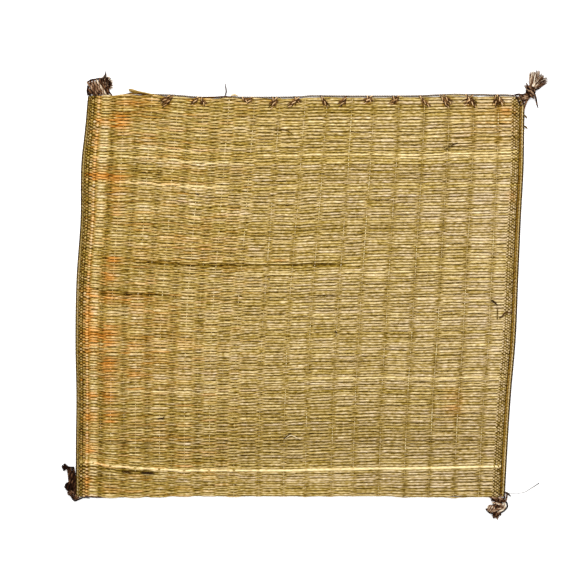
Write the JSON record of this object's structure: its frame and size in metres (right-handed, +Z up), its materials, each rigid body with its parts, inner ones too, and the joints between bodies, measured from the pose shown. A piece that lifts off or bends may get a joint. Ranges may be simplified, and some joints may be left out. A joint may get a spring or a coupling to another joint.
{
  "type": "grass mat",
  "caption": "Flat woven mat of dry grass stems with turned selvedges, a twine-stitched top edge and a knotted jute tassel at each corner.",
  "frame": {"origin": "on the ground, below the middle of the whole object with its knots", "axes": "+X from the left edge to the right edge along the stems, +Y from the bottom edge to the stitched top edge, +Z up from the flat underside"},
  "size_m": [0.6886, 0.6353, 0.01],
  "materials": {
    "grass": "dry grass stems, straw and olive, faint sheen",
    "twine": "pale brown twisted twine, matt",
    "jute": "dark brown jute strands, matt and hairy"
  },
  "bodies": {
    "root": {"mat": "grass", "edge_twine": "twine", "knot_top_left": "jute", "knot_top_right": "jute", "knot_bottom_left": "jute", "knot_bottom_right": "jute"}
  },
  "joints": []
}
